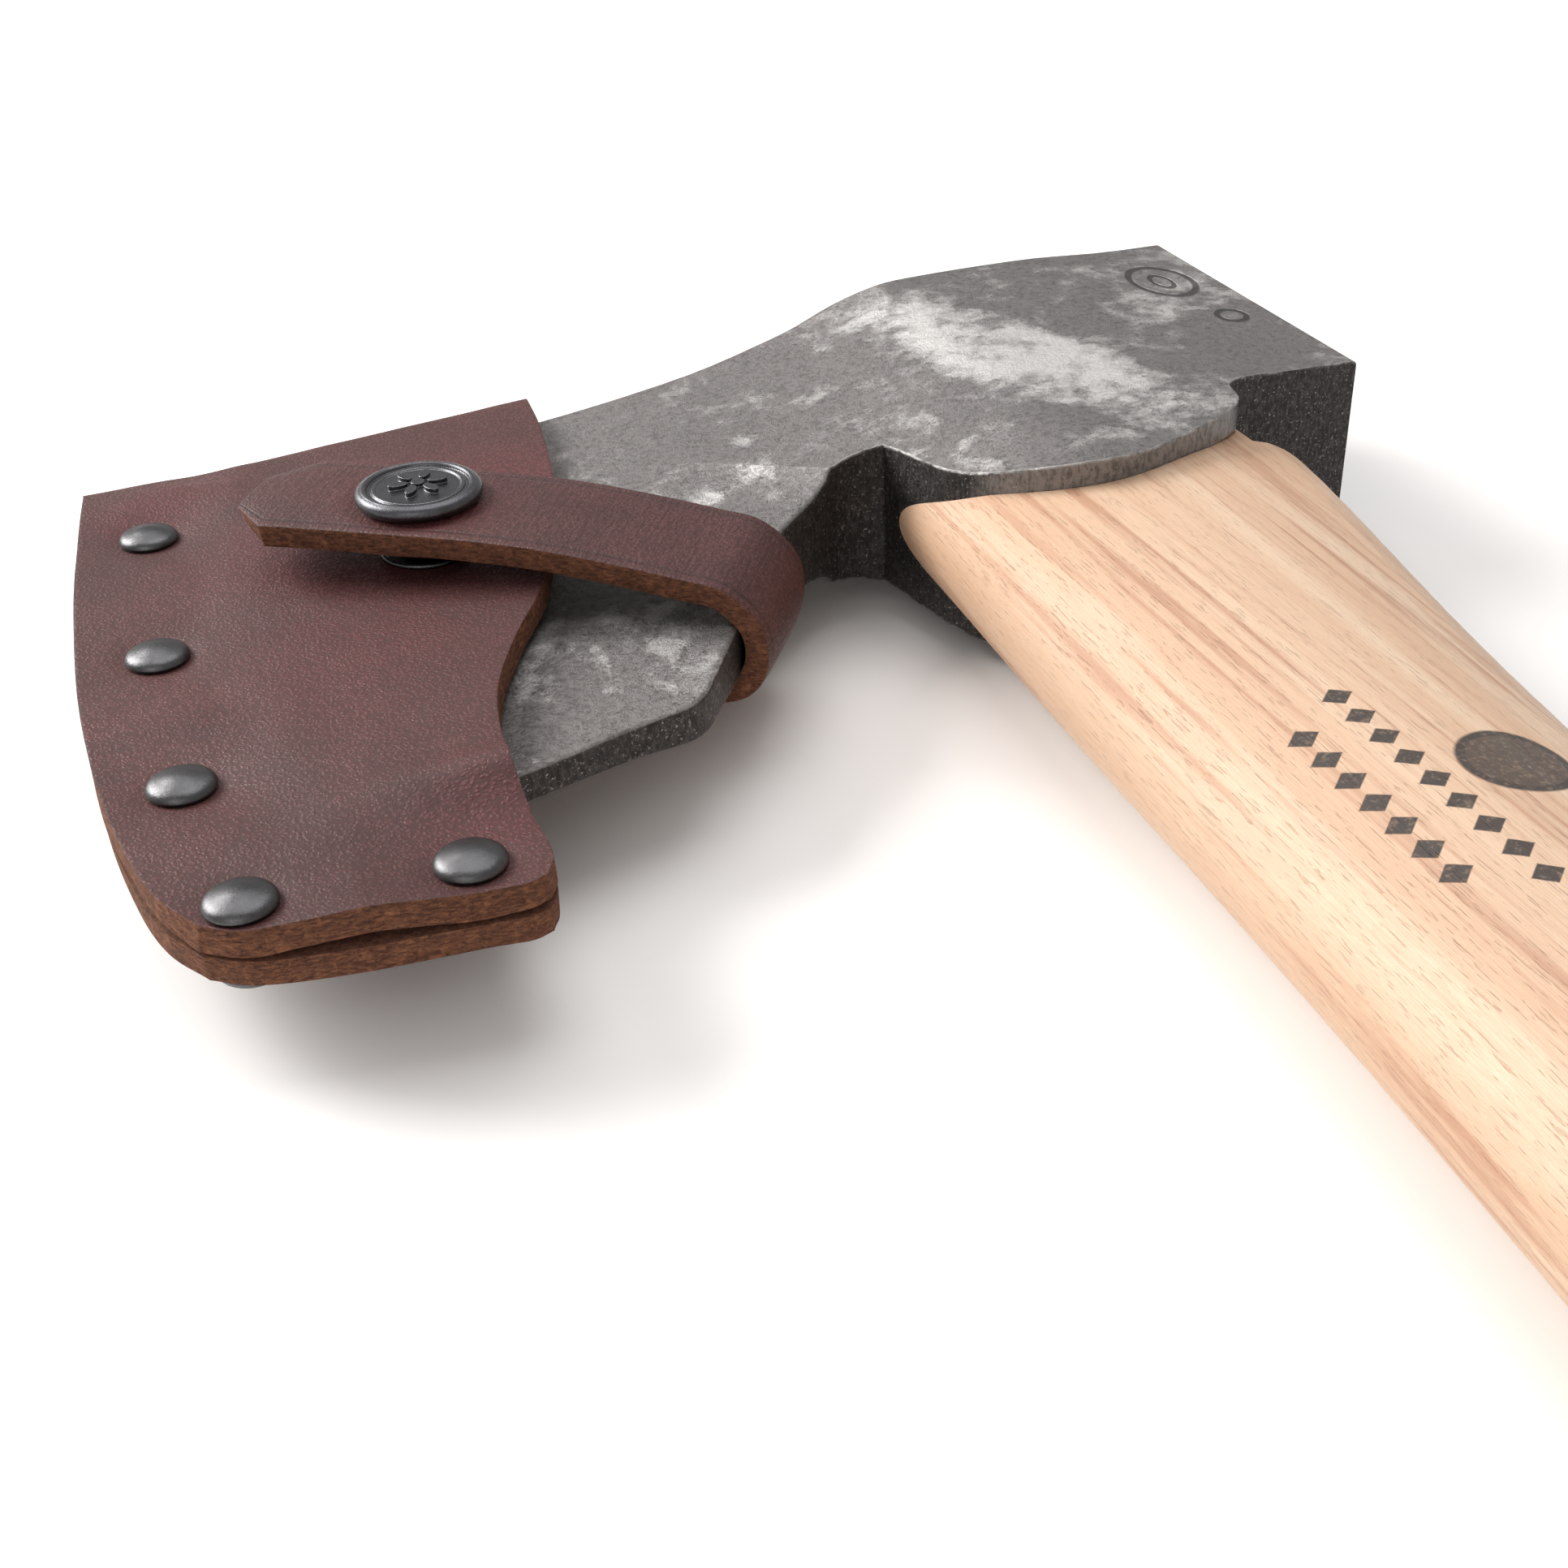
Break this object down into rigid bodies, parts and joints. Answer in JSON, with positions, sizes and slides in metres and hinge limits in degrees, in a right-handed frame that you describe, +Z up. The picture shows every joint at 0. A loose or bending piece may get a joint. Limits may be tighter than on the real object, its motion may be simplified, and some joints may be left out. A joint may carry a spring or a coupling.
{
  "type": "hatchet",
  "caption": "Bearded hatchet with a forged steel head, a pale wooden handle and a riveted leather blade cover closed by a snap strap.",
  "frame": {"origin": "under the middle of the eye, on the plane of the lower cheek that the hatchet lies on", "axes": "+X from the cutting edge to the poll, +Y from the end of the handle to the top of the head, +Z up, away from the surface the hatchet lies on"},
  "size_m": [0.1635, 0.381, 0.0283],
  "materials": {
    "forged_steel": "dark forge scale with ground and worn patches",
    "hickory": "sanded and oiled",
    "wedge_wood": "sanded end grain",
    "cover_leather": "dyed vegetable-tanned, semi-gloss",
    "strap_leather": "dyed vegetable-tanned, semi-gloss",
    "rivet_metal": "gunmetal plate",
    "snap_metal": "dark gunmetal plate",
    "spring_steel": "drawn wire"
  },
  "bodies": {
    "hatchet": {"axe_head": "forged_steel", "handle": "hickory", "eye_wedge": "wedge_wood"},
    "cover": {"blade_cover": "cover_leather", "seam_rivet_caps": "rivet_metal", "seam_rivet_bases": "rivet_metal", "strap_back": "strap_leather", "strap_bend": "strap_leather", "strap_rivet_caps": "rivet_metal", "strap_rivet_posts": "rivet_metal", "snap_stud": "snap_metal", "snap_stud_post": "snap_metal"},
    "flap": {"strap_flap": "strap_leather", "snap_cap": "snap_metal", "snap_socket": "snap_metal", "snap_spring": "spring_steel"}
  },
  "joints": [
    {"name": "cover_slide", "type": "slide", "parent": "hatchet", "child": "cover", "axis": [-1, 0, 0], "range_m": [0, 0.08]},
    {"name": "strap_open", "type": "hinge", "parent": "cover", "child": "flap", "pos_m": [-0.04613, -0.03231, 0.01934], "axis": [0.5299, 0.848, 0], "range_deg": [0, 125], "deforming": ["strap_bend"]}
  ]
}
